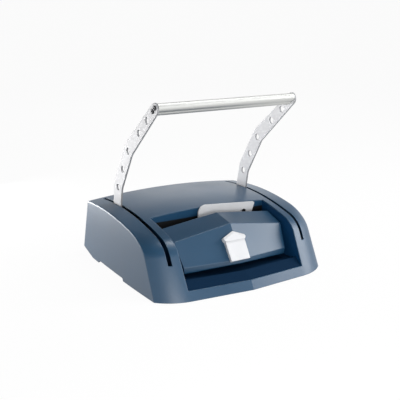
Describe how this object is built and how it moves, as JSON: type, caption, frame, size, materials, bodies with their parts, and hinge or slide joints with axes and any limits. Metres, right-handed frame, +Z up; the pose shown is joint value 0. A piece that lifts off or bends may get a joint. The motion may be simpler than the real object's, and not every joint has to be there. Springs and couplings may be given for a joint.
{
  "type": "channel binding press",
  "caption": "Desk press for metal-channel document binding: a perforated-arm handle turns cams that close a sliding jaw on a fixed one.",
  "frame": {"origin": "on the table, midway between the machine's sides and between its front and its back", "axes": "+X to the operator's right, +Y to the back, +Z up"},
  "size_m": [0.454, 0.448, 0.4145],
  "materials": {
    "casing_plastic": "satin slate-blue moulded plastic",
    "lining_plastic": "dark navy moulded plastic",
    "zinc_steel": "zinc-plated sheet and plate",
    "bright_steel": "ground bright steel",
    "dark_steel": "blackened screws",
    "bronze": "sintered bronze bushes",
    "foot_rubber": "black rubber",
    "arm_paint": "pale grey powder coat on steel",
    "bar_aluminium": "extruded natural aluminium",
    "spring_steel": "spring wire",
    "white_plastic": "near-white moulded plastic"
  },
  "bodies": {
    "machine": {"top_casing": "casing_plastic", "base_plate": "zinc_steel", "rubber_feet": "foot_rubber", "base_screws": "dark_steel", "side_frame_right": "zinc_steel", "side_frame_left": "zinc_steel", "cheek_right": "lining_plastic", "cheek_left": "lining_plastic", "throat_rear_wall": "lining_plastic", "lever_stop_pin": "bright_steel", "lever_screw": "dark_steel", "front_tray": "casing_plastic", "nose_cover": "casing_plastic", "nose_screws": "dark_steel", "bed_plate": "zinc_steel", "fixed_jaw": "bright_steel", "guide_bar": "zinc_steel", "rod_bushes": "bronze", "shaft_bushes": "bronze", "tie_rods": "bright_steel", "frame_bolts": "dark_steel", "stop_buffers": "foot_rubber"},
    "handle": {"arm_right": "arm_paint", "arm_left": "arm_paint", "grip_bar": "bar_aluminium", "bar_screws": "dark_steel", "handle_shaft": "bright_steel", "shaft_end_screws": "dark_steel", "arm_hubs": "zinc_steel", "hub_screws": "dark_steel", "cams": "bright_steel"},
    "jaw": {"moving_jaw": "bright_steel", "push_rods": "bright_steel", "follower_pads": "bright_steel", "return_springs": "spring_steel"},
    "lever": {"spreader_lever": "white_plastic"},
    "knob": {"release_knob": "white_plastic", "knob_retainer": "zinc_steel", "knob_screws": "dark_steel", "knob_spring": "spring_steel"}
  },
  "joints": [
    {"name": "handle_hinge", "type": "hinge", "parent": "machine", "child": "handle", "pos_m": [0, 0.112, 0.06], "axis": [1, 0, 0], "range_deg": [-34, 58]},
    {"name": "jaw_slide", "type": "slide", "parent": "machine", "child": "jaw", "axis": [0, -1, 0], "range_m": [-0.0085, 0.0145], "deforming": ["return_springs"]},
    {"name": "lever_hinge", "type": "hinge", "parent": "machine", "child": "lever", "pos_m": [0.096, -0.036, 0.125], "axis": [0, 1, 0], "range_deg": [0, 40]},
    {"name": "knob_slide", "type": "slide", "parent": "machine", "child": "knob", "axis": [0, 0.5547, 0.8321], "range_m": [0, 0.012], "stiffness_N_per_m": 400, "springref_m": -0.002, "deforming": ["knob_spring"]}
  ],
  "couplings": [
    {"joint": "jaw_slide", "follows": "handle_hinge", "m_per_rad": 0.014}
  ]
}
